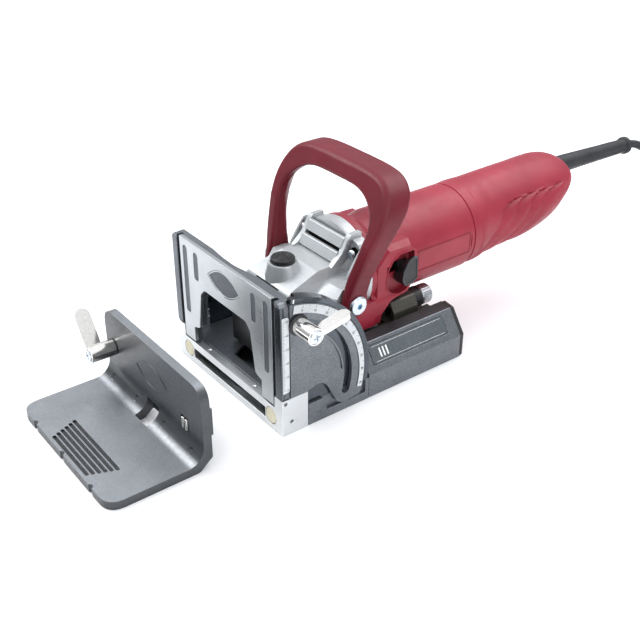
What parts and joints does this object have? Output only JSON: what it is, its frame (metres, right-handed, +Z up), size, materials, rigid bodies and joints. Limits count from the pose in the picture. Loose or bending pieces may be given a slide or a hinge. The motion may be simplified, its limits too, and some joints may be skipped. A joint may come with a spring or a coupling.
{
  "type": "biscuit joiner",
  "caption": "Hand-held plate joiner: a motor with a horizontal cutter plunges through a slotted front with a tilting fence; a separate right-angle stop square stands before it.",
  "frame": {"origin": "point of the flat sole directly under the cutter's axis", "axes": "+Z up from the sole, +Y from the working face back along the motor to the mains lead, +X to the machine's right"},
  "size_m": [0.217, 0.6955, 0.1515],
  "materials": {
    "red_housing": "satin moulded plastic",
    "burgundy_handle": "satin moulded plastic",
    "cast_aluminium": "silver painted casting",
    "anthracite_casting": "speckled metallic paint",
    "machined_aluminium": "brushed",
    "chromed_steel": "polished",
    "steel": "machined",
    "black_plastic": "fine grain",
    "black_rubber": "matt",
    "cream_pad": "matt",
    "white_scale": "printed film",
    "carriage_grey": "coated",
    "windings": "lacquered copper"
  },
  "bodies": {
    "base": {"base_casting": "anthracite_casting", "front_frame": "machined_aluminium", "grip_pad_right": "cream_pad", "grip_pad_left": "cream_pad", "chamber_cover": "anthracite_casting", "side_bracket_right": "anthracite_casting", "side_bracket_left": "anthracite_casting", "rail_right": "anthracite_casting", "rail_left": "anthracite_casting", "rating_plate": "black_plastic", "dust_nozzle": "black_plastic", "rail_end_cap_right": "black_plastic", "rail_end_cap_left": "black_plastic", "spring_rod": "steel", "return_spring": "steel", "depth_stop_bracket": "steel", "depth_stop_screw": "steel", "clamp_bolt": "steel", "guide_bolt_left": "steel"},
    "swivel_front": {"swivel_frame": "anthracite_casting", "front_face_plate": "machined_aluminium", "lens_badge": "anthracite_casting", "sector_right": "anthracite_casting", "sector_left": "anthracite_casting", "angle_scale": "white_scale", "height_scale": "white_scale"},
    "clamp_lever": {"clamp_lever": "chromed_steel"},
    "motor_unit": {"slide_carriage": "carriage_grey", "gear_housing": "cast_aluminium", "motor_housing": "red_housing", "rear_grip": "red_housing", "bow_handle": "burgundy_handle", "handle_screw_right": "steel", "handle_screw_left": "steel", "stator": "steel", "spindle_bearing": "steel", "armature_bearing_front": "steel", "armature_bearing_rear": "steel", "brush_holder_right": "black_plastic", "brush_holder_left": "black_plastic", "cord_guard": "black_rubber", "power_cord": "black_rubber", "cord_coil": "black_rubber", "cord_tail": "black_rubber", "mains_plug": "black_rubber"},
    "power_switch": {"switch_slider": "black_plastic"},
    "spindle_lock": {"spindle_lock_button": "black_plastic"},
    "cutter": {"bevel_gear": "steel", "spindle": "steel", "cutter_disc": "steel"},
    "armature": {"armature": "windings", "pinion": "steel", "cooling_fan": "black_plastic"},
    "depth_drum": {"depth_drum": "black_plastic"},
    "adjusting_ring": {"adjusting_ring": "chromed_steel"},
    "stop_square": {"stop_square": "anthracite_casting", "clamp_jaw": "steel"},
    "square_lever": {"stop_square_lever": "chromed_steel"}
  },
  "joints": [
    {"name": "plunge", "type": "slide", "parent": "base", "child": "motor_unit", "axis": [0, -1, 0], "range_m": [0, 0.022], "stiffness_N_per_m": 1500, "springref_m": -0.012, "deforming": ["return_spring"]},
    {"name": "swivel_tilt", "type": "hinge", "parent": "base", "child": "swivel_front", "pos_m": [0, -0.052, 0.031], "axis": [1, 0, 0], "range_deg": [0, 90]},
    {"name": "clamp_lever_turn", "type": "hinge", "parent": "base", "child": "clamp_lever", "pos_m": [0.076, -0.0398, 0.0826], "axis": [1, 0, 0], "range_deg": [0, 90]},
    {"name": "switch_slide", "type": "slide", "parent": "motor_unit", "child": "power_switch", "axis": [0, -1, 0], "range_m": [0, 0.008]},
    {"name": "spindle_lock_press", "type": "slide", "parent": "motor_unit", "child": "spindle_lock", "axis": [0, 0, -1], "range_m": [0, 0.0026], "stiffness_N_per_m": 800, "springref_m": -0.004},
    {"name": "cutter_spin", "type": "hinge", "parent": "motor_unit", "child": "cutter", "pos_m": [0, 0, 0.009], "axis": [0, 0, 1], "continuous": true},
    {"name": "armature_spin", "type": "hinge", "parent": "motor_unit", "child": "armature", "pos_m": [0, 0.1, 0.0705], "axis": [0, 1, 0], "continuous": true},
    {"name": "depth_drum_turn", "type": "hinge", "parent": "motor_unit", "child": "depth_drum", "pos_m": [0.025, 0.096, 0.0365], "axis": [0, 1, 0], "continuous": true},
    {"name": "fine_adjust_turn", "type": "hinge", "parent": "depth_drum", "child": "adjusting_ring", "pos_m": [0.025, 0.11, 0.0365], "axis": [0, 1, 0], "range_deg": [-180, 180]},
    {"name": "stop_square_mount", "type": "slide", "parent": "swivel_front", "child": "stop_square", "axis": [0, 0.6916, 0.7223], "range_m": [0, 0.07476]},
    {"name": "square_lever_turn", "type": "hinge", "parent": "stop_square", "child": "square_lever", "pos_m": [-0.0528, -0.12, 0.033], "axis": [0, 1, 0], "range_deg": [0, 80]}
  ],
  "couplings": [
    {"joint": "armature_spin", "follows": "cutter_spin", "ratio": 2.5}
  ]
}
